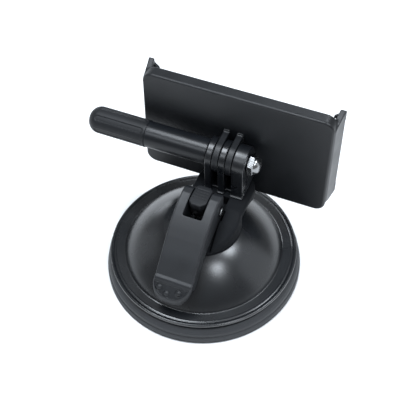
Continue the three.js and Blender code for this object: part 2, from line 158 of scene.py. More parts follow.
def surface_of(field, lo, hi, cell):
    """Vertices and quads of the field's zero surface: one vertex in each cell that it crosses."""
    axes = [np.arange(a - 1.37 * cell, b + 2.4 * cell, cell) for a, b in zip(lo, hi)]
    shape = tuple(len(a) for a in axes)
    F = np.empty(shape)
    F[...] = field(axes[0][:, None, None], axes[1][None, :, None], axes[2][None, None, :])
    solid = F < 0
    count = sum(solid[i:shape[0] - 1 + i, j:shape[1] - 1 + j, k:shape[2] - 1 + k].astype(np.int8)
                for i in (0, 1) for j in (0, 1) for k in (0, 1))
    active = (count > 0) & (count < 8)
    number = np.full(active.shape, -1, np.int64)
    number[active] = np.arange(active.sum())
    I, J, K = np.nonzero(active)
    at, hits = np.zeros((len(I), 3)), np.zeros(len(I))
    for axis in range(3):
        for s in (0, 1):
            for t in (0, 1):
                a = [s, t]
                a.insert(axis, 0)
                b = list(a)
                b[axis] = 1
                fa, fb = F[I + a[0], J + a[1], K + a[2]], F[I + b[0], J + b[1], K + b[2]]
                m = (fa < 0) != (fb < 0)
                p = np.tile(np.array(a, float), (len(I), 1))
                p[m, axis] += (fa[m] / (fa[m] - fb[m]))
                at[m] += p[m]
                hits[m] += 1
    P = (at / hits[:, None] + np.stack([I, J, K], 1)) * cell + np.array([a[0] for a in axes])
    quads = []
    for axis in range(3):
        lo_s, hi_s = [slice(1, -1)] * 3, [slice(1, -1)] * 3
        lo_s[axis], hi_s[axis] = slice(0, -1), slice(1, None)
        i = np.stack(np.nonzero(solid[tuple(lo_s)] != solid[tuple(hi_s)]), 1)
        i[:, [d for d in range(3) if d != axis]] += 1
        starts = solid[i[:, 0], i[:, 1], i[:, 2]]
        u, v = (axis + 1) % 3, (axis + 2) % 3
        ring = []
        for du, dv in ((1, 1), (0, 1), (0, 0), (1, 0)):
            c = i.copy()
            c[:, u] -= du
            c[:, v] -= dv
            ring.append(number[c[:, 0], c[:, 1], c[:, 2]])
        q = np.stack(ring, 1)
        q[~starts] = q[~starts][:, ::-1]
        quads.append(q)
    quads = np.concatenate(quads)
    pairs = np.concatenate([quads[:, [0, 1]], quads[:, [1, 2]], quads[:, [2, 3]], quads[:, [3, 0]]])
    pairs = np.concatenate([pairs, pairs[:, ::-1]])
    degree = np.bincount(pairs[:, 0], minlength=len(P))[:, None]
    for step in range(5):           # even the vertices out twice, and settle them on the surface each time
        if step in (1, 3):
            sums = [np.bincount(pairs[:, 0], P[pairs[:, 1], d], len(P)) for d in range(3)]
            P = P * 0.5 + np.stack(sums, 1) / degree * 0.5
        P = settle(field, P, cell)
    return P, quads


def slope_of(field, P, h):
    """The field's gradient at the points P, by differences over h."""
    g = np.empty_like(P)
    for d in range(3):
        a, b = P.copy(), P.copy()
        a[:, d] += h
        b[:, d] -= h
        g[:, d] = (field(a[:, 0], a[:, 1], a[:, 2]) - field(b[:, 0], b[:, 1], b[:, 2])) / (2 * h)
    return g


def settle(field, P, cell):
    """One bounded Newton step that brings the points P onto the surface."""
    f, g = field(P[:, 0], P[:, 1], P[:, 2]), slope_of(field, P, 0.02)
    step = (f / np.maximum((g ** 2).sum(1), 0.2))[:, None] * g
    size = np.maximum(np.linalg.norm(step, axis=1), 1e-9)[:, None]
    return P - step * np.minimum(1, 0.4 * cell / size)


# ------------------------------------------------------------------ pieces
FLAT_ANGLE = math.radians(0.25)  # neighbouring faces flatter than this are merged


def finish_piece(obj, material, body, replaced):
    """Give a piece its material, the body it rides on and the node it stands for."""
    obj.data.materials.clear()
    obj.data.materials.append(material)
    if body:
        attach(obj, body)
    if replaced:
        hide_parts(*([replaced] if isinstance(replaced, str) else replaced))
    return obj


def mesh_object(name, verts, faces):
    """A smooth-shaded object from vertices in millimetres and faces."""
    me = bpy.data.meshes.new(name)
    me.from_pydata([tuple(v) for v in np.asarray(verts, float) * MM], [],
                   [tuple(int(i) for i in f) for f in faces])
    me.validate()
    me.polygons.foreach_set("use_smooth", [True] * len(me.polygons))
    obj = bpy.data.objects.new(name, me)
    bpy.context.scene.collection.objects.link(obj)
    return obj


def moulded(name, field, lo, hi, cell, material, body, replaced=None):
    """A piece from a distance field that is sampled from lo to hi in steps of cell: its flat areas are
    merged, and its shading follows the field."""
    P, quads = surface_of(field, lo, hi, cell * (1.0))
    obj = mesh_object(name, P, quads)
    me = obj.data
    bm = bmesh.new()
    bm.from_mesh(me)
    bmesh.ops.dissolve_limit(bm, angle_limit=FLAT_ANGLE, verts=bm.verts[:], edges=bm.edges[:])
    bmesh.ops.triangulate(bm, faces=[f for f in bm.faces if len(f.verts) > 4])
    bm.to_mesh(me)
    bm.free()
    me.polygons.foreach_set("use_smooth", [True] * len(me.polygons))
    V = np.empty(len(me.vertices) * 3)
    me.vertices.foreach_get("co", V)
    N = slope_of(field, V.reshape(-1, 3) / MM, 0.06)
    N /= np.maximum(np.linalg.norm(N, axis=1), 1e-9)[:, None]
    me.normals_split_custom_set_from_vertices(N.tolist())
    return finish_piece(obj, material, body, replaced)


def turned(name, profile, material, body, replaced=None, segments=160, axis="z", at=(0, 0, 0)):
    """A closed profile of (radius, height) turned about an axis through at."""
    ang = np.linspace(0, 2 * math.pi, segments, endpoint=False)
    R, H = np.array([p[0] for p in profile]), np.array([p[1] for p in profile])
    n = len(profile)
    C, S = np.cos(ang)[:, None] * R, np.sin(ang)[:, None] * R
    H = np.broadcast_to(H, C.shape)
    parts = {"z": (C, S, H), "x": (H, C, S)}[axis]
    verts = np.stack(parts, -1).reshape(-1, 3) + np.array(at, float)
    faces = []
    for i in range(segments):
        a, b = i * n, ((i + 1) % segments) * n
        for j in range(n):
            k = (j + 1) % n
            if R[j] < 1e-6 and R[k] < 1e-6:
                continue
            faces.append((a + j, b + j, b + k, a + k))
    obj = mesh_object(name, verts, faces)
    bm = bmesh.new()
    bm.from_mesh(obj.data)
    bmesh.ops.remove_doubles(bm, verts=bm.verts[:], dist=1e-7)
    bmesh.ops.recalc_face_normals(bm, faces=bm.faces[:])
    bm.to_mesh(obj.data)
    bm.free()
    obj.data.polygons.foreach_set("use_smooth", [True] * len(obj.data.polygons))
    shading = obj.modifiers.new("shading", "WEIGHTED_NORMAL")
    shading.keep_sharp = True
    return finish_piece(obj, material, body, replaced)


CLOSED_TURNS = 0.9              # how much of a turn lies closed at each end of a spring


def coil(name, a, b, radius, wire, turns, material, per_turn=40, around=10):
    """A round-wire spring from a to b, its end turns closed up."""
    A, B = Vector(a), Vector(b)
    d = (B - A).normalized()
    u = Vector((1, 0, 0)) if abs(d.z) > 0.9 else Vector((0, 0, 1))
    v = d.cross(u).normalized()
    w = v.cross(d).normalized()
    total, length = int(turns * per_turn), (B - A).length - 2 * wire
    share = CLOSED_TURNS * 2 * wire * 1.02
    centre = []
    for i in range(total + 1):
        t = i / per_turn
        rise = (min(t, CLOSED_TURNS) + max(0.0, t - (turns - CLOSED_TURNS))) / CLOSED_TURNS * share
        middle = max(0.0, min(t, turns - CLOSED_TURNS) - CLOSED_TURNS) / (turns - 2 * CLOSED_TURNS)
        along = wire + rise + middle * (length - 2 * share)
        angle = t * 2 * math.pi
        centre.append(A + d * along + v * (radius * math.sin(angle)) + w * (radius * math.cos(angle)))
    verts, faces = [], []
    for i, p in enumerate(centre):
        tangent = (centre[min(i + 1, total)] - centre[max(i - 1, 0)]).normalized()
        side = tangent.cross(d).normalized()
        other = side.cross(tangent).normalized()
        for k in range(around):
            q = 2 * math.pi * k / around
            verts.append(p + side * (wire * math.cos(q)) + other * (wire * math.sin(q)))
    for i in range(total):
        for k in range(around):
            m = (k + 1) % around
            faces.append((i * around + k, i * around + m, (i + 1) * around + m, (i + 1) * around + k))
    faces.append(tuple(range(around - 1, -1, -1)))
    faces.append(tuple(range(total * around, total * around + around)))
    obj = mesh_object(name, [tuple(v) for v in verts], faces)
    obj.data.materials.append(material)
    return obj


# ------------------------------------------------------------------ materials
GRIP_ROUGHNESS = 0.5


def noise(nt, where, size, detail):
    """A noise texture with features of about size millimetres, fixed to the object."""
    node = nt.nodes.new("ShaderNodeTexNoise")
    node.inputs["Scale"].default_value = 1 / (size * MM)
    node.inputs["Detail"].default_value = detail
    node.inputs["Roughness"].default_value = 0.55
    nt.links.new(where.outputs["Object"], node.inputs["Vector"])
    return node


def ramp(nt, source, low, high, dark, light):
    """A colour ramp that runs from dark to light as source goes from low to high."""
    node = nt.nodes.new("ShaderNodeValToRGB")
    first, last = node.color_ramp.elements
    first.position, last.position = low, high
    first.color, last.color = (*dark, 1), (*light, 1)
    nt.links.new(source.outputs["Fac"], node.inputs["Fac"])
    return node


def remap(nt, socket, span, low, high):
    """A value that runs from low to high as the socket goes across span."""
    node = nt.nodes.new("ShaderNodeMapRange")
    node.inputs["From Min"].default_value, node.inputs["From Max"].default_value = span
    node.inputs["To Min"].default_value, node.inputs["To Max"].default_value = low, high
    nt.links.new(socket, node.inputs["Value"])
    return node


def material(name, colour, rough, metallic=0.0, specular=0.5, grain=0.25, grain_depth=0.02, spread=0.2,
             rough_spread=0.06, blotch=9.0, matt_end=None):
    """A moulded or plated surface. In millimetres, grain is the size of its fine texture and blotch of its
    slow variation, and matt_end is the stretch along X over which it turns to the grip's roughness."""
    mat = bpy.data.materials.new(name)
    mat.use_nodes = True
    nt = mat.node_tree
    shader = nt.nodes["Principled BSDF"]
    shader.inputs["Metallic"].default_value = metallic
    shader.inputs["Specular IOR Level"].default_value = specular
    where = nt.nodes.new("ShaderNodeTexCoord")
    slow, fine = noise(nt, where, blotch, 3.0), noise(nt, where, grain, 2.0)

    patches = ramp(nt, slow, 0.3, 0.7, [c * (1 - spread) for c in colour], [c * (1 + spread) for c in colour])
    speck = ramp(nt, fine, 0.35, 0.65, (0.86, 0.86, 0.86), (1, 1, 1))
    mix = nt.nodes.new("ShaderNodeMix")
    mix.data_type, mix.blend_type = "RGBA", "MULTIPLY"
    mix.inputs["Factor"].default_value = 1.0
    nt.links.new(patches.outputs["Color"], mix.inputs["A"])
    nt.links.new(speck.outputs["Color"], mix.inputs["B"])
    nt.links.new(mix.outputs["Result"], shader.inputs["Base Color"])

    if matt_end:
        apart = nt.nodes.new("ShaderNodeSeparateXYZ")
        nt.links.new(where.outputs["Object"], apart.inputs[0])
        gloss = remap(nt, apart.outputs["X"], [v * MM for v in matt_end], rough, GRIP_ROUGHNESS)
    else:
        gloss = remap(nt, slow.outputs["Fac"], (0.3, 0.7), rough - rough_spread, rough + rough_spread)
    nt.links.new(gloss.outputs["Result"], shader.inputs["Roughness"])

    bump = nt.nodes.new("ShaderNodeBump")
    bump.inputs["Strength"].default_value = 1.0
    bump.inputs["Distance"].default_value = grain_depth * MM
    nt.links.new(fine.outputs["Fac"], bump.inputs["Height"])
    nt.links.new(bump.outputs["Normal"], shader.inputs["Normal"])
    return mat


RUBBER = material("rubber_skin", (0.0185, 0.0203, 0.0236), 0.6, grain=0.35, grain_depth=0.03, spread=0.25,
                  blotch=12)
SOFT = material("rubber_matt", (0.0186, 0.02, 0.02376), 0.8, grain=0.3, grain_depth=0.04)
GLOSS = material("cover_gloss", (0.006045, 0.0072, 0.008856), 0.27, specular=0.62, grain=0.5,
                 grain_depth=0.0025, spread=0.15, rough_spread=0.03, blotch=22)
# Painted shade: the button spring deep in the lever's window is coloured near black to stand for the shade
# that fills that pit
PIT_SHADE_BLACK = material("painted_pit_shade", (0.003, 0.003, 0.0033), 0.7, specular=0.1, grain=0.1, grain_depth=0.003,
                spread=0.15)
MATT = material("hub_matt", (0.005115, 0.006, 0.00756), 0.68, specular=0.14, grain=0.22, grain_depth=0.012,
                spread=0.15)
SATIN = material("block_satin", (0.00558, 0.0066, 0.008208), 0.29, grain=0.22, grain_depth=0.008, spread=0.15)
CRADLE = material("cradle_grain", (0.005394, 0.0065, 0.008208), 0.42, specular=0.4, grain=0.3,
                  grain_depth=0.014, spread=0.15, blotch=18)
LEVER = material("lever_satin", (0.0162, 0.0175, 0.0199), 0.43, specular=0.32, grain=0.2, grain_depth=0.014,
                 spread=0.12)
KEY = material("button_satin", (0.007979, 0.00897, 0.01095), 0.55, specular=0.35, grain=0.2, grain_depth=0.01,
               spread=0.12)
HANDLE = material("handle_semi_gloss", (0.007254, 0.0084, 0.01037), 0.3, specular=0.3,
                  matt_end=(-31.5, -34.5), grain=0.25, grain_depth=0.006, spread=0.15)
STEEL = material("bright_plate", (0.31, 0.315, 0.32), 0.25, metallic=1.0, grain=0.12, grain_depth=0.003,
                 spread=0.06, rough_spread=0.05, blotch=2)
ZINC = material("zinc_plate", (0.42, 0.43, 0.45), 0.38, metallic=1.0, grain=0.1, grain_depth=0.004,
                spread=0.12, rough_spread=0.08, blotch=3)
STUD = material("black_oxide", (0.012, 0.012, 0.0135), 0.55, specular=0.3, grain=0.1, grain_depth=0.004,
                spread=0.15, rough_spread=0.08, blotch=3)

# ------------------------------------------------------------------ suction base
turned("rubber_cup_skirt", soften([
    (33, 1.5, .3), (36, 0.8, .5), (39.5, 0.02, 1.2), (44.6, 0.02, .5), (45.0, 0.5, .3),     # sealing face
    (45.0, 1.15, .12), (44.72, 1.3, .08), (44.72, 1.5, .08), (45.0, 1.65, .12),             # parting groove
    (44.95, 2.4, .6), (44.7, 3.6, .3), (44.1, 3.95, .2), (44.05, 4.35, .2),                 # waist
    (44.45, 4.7, .3), (44.2, 6.1, .8), (43.5, 7.4, .9), (42.6, 8.2, .4), (42.0, 8.3, .15),  # shoulder
    (42.0, 7.2, .1), (40.6, 7.2, .2), (40.3, 4.1, .3), (33, 3.7, .4)], 0.2, 4),             # inside
    RUBBER, "base", "cup_skirt", 200)


def bezier(p0, p1, p2, p3, n):
    """Points of a cubic curve, ends included."""
    t = np.linspace(0, 1, n + 1)[:, None]
    return ((1 - t) ** 3 * np.array(p0) + 3 * (1 - t) ** 2 * t * np.array(p1)
            + 3 * (1 - t) * t * t * np.array(p2) + t ** 3 * np.array(p3)).tolist()


dome_outside = bezier((36.15, 11.45), (33.5, 16.8), (24.8, 25.1), (17.2, 28.0), 40)
dome_seat = [(9.6, 28.0), (9.3, 27.7), (9.3, 25.8)]
dome_inside = bezier((16.8, 25.8), (24.8, 21.4), (31.2, 14.0), (34.0, 9.6), 16)
rim = soften([
    (34.2, 7.6, .2), (41.6, 7.6, .2), (41.6, 9.7, .3),                              # underside, groove
    (42.4, 9.9, .3), (42.85, 10.3, .3), (42.8, 11.3, .35), (42.2, 11.6, .4),        # bead
    (41.5, 11.42, .5), (41.1, 11.12, .3), (40.7, 11.28, .25), (40.35, 11.38, .25),  # fine line
    (39.9, 11.28, .25), (36.75, 11.28, .5), (36.4, 11.3, .0)], .2, 5)               # flat ring, crease
turned("dome_cover_shell", dome_outside + dome_seat + dome_inside + rim, GLOSS, "base", "dome_cover",
       224)

diaphragm = turned("rubber_diaphragm", soften([
    (32.7, 1.6, .3), (32.7, 3.6, .5), (27, 4.3, 2), (19, 6.9, 3), (15.5, 8.5, 1), (13.7, 8.6, .3),
    (13.7, 6.6, .4), (15.5, 6.4, 1), (19, 4.9, 3), (27, 2.4, 2)], .3, 6),
    SOFT, None, "cup_diaphragm", 120)
diaphragm.modifiers.clear()
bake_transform(diaphragm)

turned("plunger_disc", soften([
    (0, 6.6, 0), (12.9, 6.6, .3), (13.4, 7.0, .2), (13.4, 8.3, .2), (12.9, 8.6, .2), (6.3, 9.3, .6),
    (5.5, 12.3, .2), (5.3, 12.4, .1), (3.3, 12.4, .1), (3.3, 9.4, .1), (0, 9.4, 0)], .2, 4),
    SATIN, "plunger", "plunger_plate", 80)


# ------------------------------------------------------------------ hub
HUB_R, HUB_LEFT, HUB_BACK, HUB_TOP, HUB_FOOT = 17.4, -9.2, 26.2, 39.5, 28.3
HUB_CORNER = 8.5                # plan radius of the two rear corners
# the right flank's bevel: a point of it and its normal, x and z
BEVEL_AT, BEVEL_WAY = (15.4, 40.4), (0.735, 0.678)
FLANK_IN = 15.2                 # how far in along X the arched undercut reaches
CAP_LOW, CAP_HIGH = 38.3, 44    # heights between which the pin's end cap passes in its slot
CAP_R, CAP_END = 2.4, 9.8       # the slot's half width, and how far along X it goes
POCKET_WALL = 8.95              # right wall of the pocket, beside the lever
WELL_R, WELL_TOP, STUD_BORE = 8.9, 31.4, 3.3

hub_plan = [(HUB_R * math.cos(a), HUB_R * math.sin(a))
            for a in np.linspace(-math.acos(HUB_LEFT / HUB_R), 0, 40)]
for corner_x, start in ((HUB_R - HUB_CORNER, 0.0), (HUB_LEFT + HUB_CORNER, math.pi / 2)):
    hub_plan += [(corner_x + HUB_CORNER * math.cos(a), HUB_BACK - HUB_CORNER + HUB_CORNER * math.sin(a))
                 for a in np.linspace(start, start + math.pi / 2, 14)]
# outlines in the (y, z) plane: the sloping top, the lever's pocket, and the arch under the right flank
hub_top = soften([(40, 15), (40, HUB_TOP), (3.5, HUB_TOP, 6), (-3.5, 36.9, 8), (-11, 32.9, 12),
                  (-18.5, 28.9, 4), (-26, 25.2), (-26, 15)], 1, 10)
hub_pocket = soften([(-22, 20), (-22, 25.6), (-5.5, 34.0, 2), (9.8, 34.0, .8), (9.8, 50), (-60, 50),
                     (-60, 20)], .5, 6)
hub_arch = soften([(1, 20), (1, 38.0), (5, 37.9), (9, 37.1), (13, 35.6), (17.7, 33.0), (22, 30.0), (28, 26),
                   (28, 20)], 3, 6)


def hub_field(X, Y, Z):
    body = rmax(poly(X, Y, hub_plan), poly(Y, Z, hub_top), 1.5)
    body = rmax(body, (X - BEVEL_AT[0]) * BEVEL_WAY[0] + (Z - BEVEL_AT[1]) * BEVEL_WAY[1], 0.7)
    under = np.maximum(poly(Y, Z, hub_arch), np.maximum(FLANK_IN - X, HUB_R - np.hypot(X, Y)))
    body = rmax(body, -under, 0.3)
    pocket = np.maximum(poly(Y, Z, hub_pocket), X - POCKET_WALL - 0.06 * np.maximum(-4 - Y, 0))
    body = rmax(body, -pocket, 0.45)
    cap_slot = np.hypot(Y, Z - np.clip(Z, CAP_LOW, CAP_HIGH)) - CAP_R
    body = rmax(body, -np.maximum(cap_slot, X - CAP_END), 0.2)
    body = np.maximum(body, HUB_FOOT - Z)
    well = np.maximum(np.hypot(X, Y) - WELL_R, Z - WELL_TOP)
    bore = np.hypot(X, Y) - STUD_BORE
    return np.maximum(body, -np.minimum(well, bore))


moulded("hub_shell", hub_field, (-9.3, -16.8, 28.2), (17.5, 26.3, 39.6), 0.36,
        MATT, "base", "hub_housing")

# ------------------------------------------------------------------ hinge
HINGE_Y, HINGE_Z, PRONG_R, PITCH, FIRST = 18.5, 55.2, 7.5, 3.1, -3.6
HALF = (PITCH - 0.3) / 2        # half the thickness of a thin prong
BOLT_R, BORE_GAP = 2.5, 0.3     # the gap is between the bolt and every bore round it
THICK_RIGHT = 14.3              # right face of the thick prong
BLOCK_FOOT = 39.8               # underside of the prong block, on the hub


def prong_middle(k):
    return FIRST + PITCH * (k + 0.5)


def hinge_bore(Y, Z, r):
    return np.hypot(Y - HINGE_Y, Z - HINGE_Z) - r


def standing(Y, Z, foot):
    """Outline of a prong that stands up from foot."""
    round_end = hinge_bore(Y, Z, PRONG_R)
    post = box2(Y, Z, HINGE_Y - PRONG_R, HINGE_Y + PRONG_R, foot, HINGE_Z)
    return np.minimum(round_end, post)


def block_field(X, Y, Z):
    side, front = standing(Y, Z, BLOCK_FOOT), HINGE_Y - PRONG_R
    out = None
    for k in (0, 2, 4):         # the base's prongs; the last is the thick one
        x0 = prong_middle(k) - HALF
        x1 = THICK_RIGHT if k == 4 else prong_middle(k) + HALF
        p = rmax(side, np.abs(X - (x0 + x1) / 2) - (x1 - x0) / 2, 0.28)
        toe = box3(X, Y, Z, x0, x1, front - 0.9, HINGE_Y, BLOCK_FOOT, BLOCK_FOOT + 0.3, 0.12)
        p = rmin(p, toe, 1.2)
        out = p if out is None else np.minimum(out, p)
    foot = box3(X, Y, Z, prong_middle(0) - HALF, THICK_RIGHT, front + 1.6, HINGE_Y + PRONG_R + 0.2,
                BLOCK_FOOT, BLOCK_FOOT + 1.1, 0.3)
    out = rmin(out, foot, 0.7)
    return rmax(out, -hinge_bore(Y, Z, BOLT_R + BORE_GAP), 0.2)


moulded("hinge_block", block_field, (-3.6, 9.7, 39.7), (14.4, 26.3, 62.8), 0.27,
        SATIN, "base", "prong_block")

CRADLE_BACK = 26.9              # plane of the cradle's back face


def bracket_field(X, Y, Z):
    round_end = hinge_bore(Y, Z, PRONG_R)
    arm = box2(Y, Z, HINGE_Y, 31.0, HINGE_Z - PRONG_R, HINGE_Z + PRONG_R)
    side = np.minimum(round_end, arm)
    out = None
    for k in (1, 3):            # the cradle's prongs, between the base's
        p = rmax(side, np.abs(X - prong_middle(k)) - HALF, 0.28)
        root = box3(X, Y, Z, prong_middle(k) - HALF, prong_middle(k) + HALF, CRADLE_BACK - 0.8,
                    CRADLE_BACK - 0.03, HINGE_Z - PRONG_R - 0.8, HINGE_Z + PRONG_R + 0.8, 0.25)
        p = rmin(p, root, 0.8)
        out = p if out is None else np.minimum(out, p)
    out = rmax(out, -hinge_bore(Y, Z, BOLT_R + BORE_GAP), 0.2)
    flange = box3(X, Y, Z, -8.6, 17.3, 29.4, 31.2, 43, 67.4, 0.5)
    return np.minimum(out, flange)


moulded("cradle_hinge_bracket", bracket_field, (-8.8, 10.8, 42.8), (17.5, 31.4, 67.6), 0.33,
        CRADLE, "cradle", "cradle_bracket")

# ------------------------------------------------------------------ cam lever
PIN_Y, PIN_Z = 0.0, 41.1        # lever pin
PIN_HOLE = 2.3                  # radius of its holes in the lever and in the stud's eye
HALF_W, ARM_IN = 8.6, 4.3       # half width of the lever, and of the window between its arms
WINDOW_FRONT = -11.1


def polar(deg, r):
    """A point of the cam, about the pin."""
    return (PIN_Y + r * math.cos(math.radians(deg)), PIN_Z + r * math.sin(math.radians(deg)))


lever_side = soften([
    # cam
    polar(-90, 6.55), polar(-75, 5.95), polar(-60, 5.4), polar(-45, 4.85), polar(-30, 4.3), polar(-12, 3.7),
    polar(8, 3.8), polar(26, 4.4), polar(44, 5.6), (3.9, 47.6, 1.5), (1.2, 49.7, 1.5), (-1.8, 49.65, 3),
    # back, ridge and thumb pad
    (-7, 48.15, 30), (-13.8, 44.9, 40), (-19.3, 40.4, 60), (-25, 35.45, 60), (-29.4, 31.0, 60),
    (-31.85, 28.55, .5), (-33.1, 28.15, .35), (-33.7, 27.45, .35), (-34.05, 26.75, .8),
    (-36.2, 24.0, 4), (-38.35, 21.3, .6), (-38.8, 19.9, .5), (-38.5, 18.4, .5), (-37.4, 17.5, .5),
    # underside
    (-35.6, 20.4, 2), (-33.5, 23.5, 1), (-32.4, 24.1, .6), (-30.8, 22.4, .6), (-29.7, 21.8, 1),
    (-25.7, 24.4, 3), (-22.7, 27.2, 3), (-16.9, 31.4, 3), (-10, 33.5, 3), (-5, 34.4, 2)], 1.0, 7)
lever_plan = soften([
    (HALF_W, 20), (HALF_W, -29, 3), (8.75, -33.3, 1.2), (8.0, -34.8, 2), (6.8, -36.2, 3), (5.1, -37.4, 3),
    (2.9, -38.3, 3), (0.4, -38.7, 3), (-1.8, -38.7, 3), (-4.8, -38.15, 3), (-7.0, -37.2, 3), (-8.4, -35.9, 3),
    (-8.95, -34.4, 2), (-8.75, -33.2, 2), (-HALF_W, -29, 3), (-HALF_W, 20)], 1, 6)
lever_hollow = soften([
    (-12.9, 42.6), (-18.2, 38.5), (-23.4, 33.9), (-28.6, 28.9), (-30.6, 26.4, .8), (-31.0, 20.0), (-31, 10),
    (-12.9, 25)], 1, 5)
PAD = (-33.2, 27.8)             # a point of the thumb pad's plane, y and z
PAD_DOWN = (-0.623, -0.782)     # the way down the pad
BUMPS = [(-5.7, -35.8), (-1.9, -37.0), (3.4, -35.9)]


def lever_field(X, Y, Z):
    body = rmax(poly(Y, Z, lever_side), poly(X, Y, lever_plan), 0.7)
    hollow = rmax(poly(Y, Z, lever_hollow), np.abs(X) - HALF_W + 2.0, 0.6)
    body = rmax(body, -hollow, 0.4)
    window = box2(X, Y, -ARM_IN, ARM_IN, WINDOW_FRONT, 14, 0.6)
    body = rmax(body, -window, 0.3)
    high = (Y - PAD[0]) * PAD_DOWN[1] - (Z - PAD[1]) * PAD_DOWN[0]          # height above the pad's plane
    along = (Y - PAD[0]) * PAD_DOWN[0] + (Z - PAD[1]) * PAD_DOWN[1]         # distance down the pad
    dish = rmax(rmax(poly(X, Y, lever_plan) + 0.8, -0.4 - high, 0.25), 2.0 - along, 0.3)
    body = rmax(body, -dish, 0.3)
    for x, y in BUMPS:          # each bump stands in a fine ring
        far = np.hypot(X - x, along - (y - PAD[0]) / PAD_DOWN[0])
        body = rmax(body, -(np.hypot(far - 1.4, high + 0.35) - 0.24), 0.1)
        body = rmin(body, np.hypot(far, high + 1.15) - 1.45, 0.1)
    return rmax(body, -(np.hypot(Y - PIN_Y, Z - PIN_Z) - PIN_HOLE), 0.25)


moulded("cam_lever_body", lever_field, (-9.0, -38.9, 17.1), (9.0, 4.2, 49.9), 0.3,
        LEVER, "lever", "cam_lever")

cap_profile = soften([(0, 9.0, 0), (2.0, 9.0, .1), (2.0, 9.2, .15), (1.3, 9.47, .3), (0, 9.5, 0)], .1, 4)
for name, side in (("pin_cap_left", -1), ("pin_cap_right", 1)):
    turned(name + "_dome", [(r, side * x) for r, x in cap_profile], STEEL, "lever", name,
           48, "x", (0, PIN_Y, PIN_Z))
turned("lever_pin_rod", soften([(0, -8.7, 0), (2.0, -8.7, .25), (2.0, 8.7, .25), (0, 8.7, 0)], .2, 4),
       STUD, "lever", "lever_pin", 48, "x", (0, PIN_Y, PIN_Z))


def stud_field(X, Y, Z):
    shank = np.maximum(np.hypot(X, Y) - 3.0, np.abs(Z - 23.85) - 14.1)
    round_eye = np.hypot(Y - PIN_Y, Z - PIN_Z) - 4.3
    out = rmin(rmax(shank, 9.9 - Z, 0.5), rmax(round_eye, np.abs(X) - 3.9, 0.4), 0.8)
    return rmax(out, -(np.hypot(Y - PIN_Y, Z - PIN_Z) - PIN_HOLE), 0.2)


moulded("plunger_eye_stud", stud_field, (-4, -4.4, 9.6), (4, 4.4, 45.5), 0.3,
        STUD, "plunger", "plunger_stud")

# ------------------------------------------------------------------ lock button
button_plan = soften([(-2.2, -6.4, .5), (1.8, -6.4, .5), (3.9, -4.4, .4), (3.9, 3.2, .3), (2.5, 4.6, .3),
                      (-2.5, 4.6, .3), (-3.9, 3.2, .3), (-3.9, -4.9, .4)], .3, 4)
BUTTON_TOP, BUTTON_FOOT = 49.45, 45.9
GRIP_LINES = (-2.6, -1.0, 0.6, 2.2)


def button_field(X, Y, Z):
    top = Z - BUTTON_TOP + 0.012 * (Y + 1) ** 2
    cap = rmax(rmax(poly(X, Y, button_plan), top, 0.55), BUTTON_FOOT - Z, 0.2)
    for y in GRIP_LINES:
        groove = box2(Y, Z, y - 0.18, y + 0.18, 49.2, 51, 0.08)
        cap = rmax(cap, -np.maximum(groove, np.abs(X) - 2.7), 0.12)
    latch = box3(X, Y, Z, -2.6, 2.6, -5.2, -3.9, 43.4, 47.0, 0.2)
    return np.minimum(cap, latch)


moulded("lock_button_cap", button_field, (-4, -6.5, 43.3), (4, 4.7, 49.6), 0.16,
        KEY, "button", "lock_button")

# ------------------------------------------------------------------ handle, bolt and nut
SHAFT_R, GRIP_R, TIP, GRIP_END, FACE = 5.9, 6.15, -61.6, -33.0, -3.9
FLUTES, FLUTE_HALF, FLUTE_DEPTH, FLUTE_TURN = 6, 1.25, 0.4, math.radians(126)


def handle_field(X, Y, Z):
    y, z = Y - HINGE_Y, Z - HINGE_Z
    r = np.hypot(y, z)
    grip = rmax(np.maximum(r - GRIP_R, X - GRIP_END), TIP - X, 5.2)
    shaft = rmax(np.maximum(r - SHAFT_R, -45 - X), X - FACE, 0.35)
    body = rmin(rmax(grip, X - GRIP_END, 0.15), shaft, 0.12)
    theta = np.arctan2(z, y)
    step = 2 * math.pi / FLUTES
    around = (np.mod(theta - FLUTE_TURN + step / 2, step) - step / 2) * GRIP_R
    x0, x1 = TIP + 4.2, GRIP_END - 1.2
    along = np.maximum(np.abs(X - (x0 + x1) / 2) - (x1 - x0) / 2 + FLUTE_HALF, 0)
    flute = rmax(np.hypot(along, around) - FLUTE_HALF, (GRIP_R - FLUTE_DEPTH) - r, 0.25)
    body = rmax(body, -flute, 0.22)
    bore = np.maximum(r - BOLT_R - BORE_GAP, -22 - X)
    return np.maximum(body, -bore)


moulded("thumb_handle_body", handle_field, (-62.5, 12.2, 48.9), (-3.8, 24.8, 61.5), 0.3,
        HANDLE, "clamp", "thumb_handle")
turned("clamp_bolt_rod", soften([(0, -21.7, 0), (2.5, -21.7, .3), (2.5, 17.6, .3), (0, 17.6, 0)], .2, 3),
       ZINC, "clamp", "clamp_bolt", 48, "x", (0, HINGE_Y, HINGE_Z))


NUT_R, NUT_DOME_R, NUT_SEAT, NUT_END = 4.85, 3.95, 17.0, 17.9


def nut_field(X, Y, Z):
    y, z = Y - HINGE_Y, Z - HINGE_Z
    across = NUT_R * math.cos(math.pi / 6)
    hexagon = None
    for a in (0, 60, 120):
        c, s = math.cos(math.radians(a)), math.sin(math.radians(a))
        d = np.abs(y * c + z * s) - across
        hexagon = d if hexagon is None else rmax(hexagon, d, 0.1)
    r = np.hypot(y, z)
    hexagon = rmax(hexagon, np.abs(X - 15.95) - 1.35, 0.1)
    hexagon = rmax(hexagon, (r - 4.6) * 0.5 + (X - NUT_SEAT) * 0.866, 0.1)       # chamfers
    hexagon = rmax(hexagon, (r - 4.6) * 0.5 - (X - 14.85) * 0.866, 0.1)
    dome = np.sqrt((np.maximum(X - NUT_SEAT, 0) * NUT_DOME_R / 3.0) ** 2 + r * r) - NUT_DOME_R
    dome = np.maximum(dome, 15 - X)
    out = rmin(hexagon, dome, 0.15)
    return np.maximum(out, -np.maximum(r - BOLT_R - BORE_GAP, X - NUT_END))


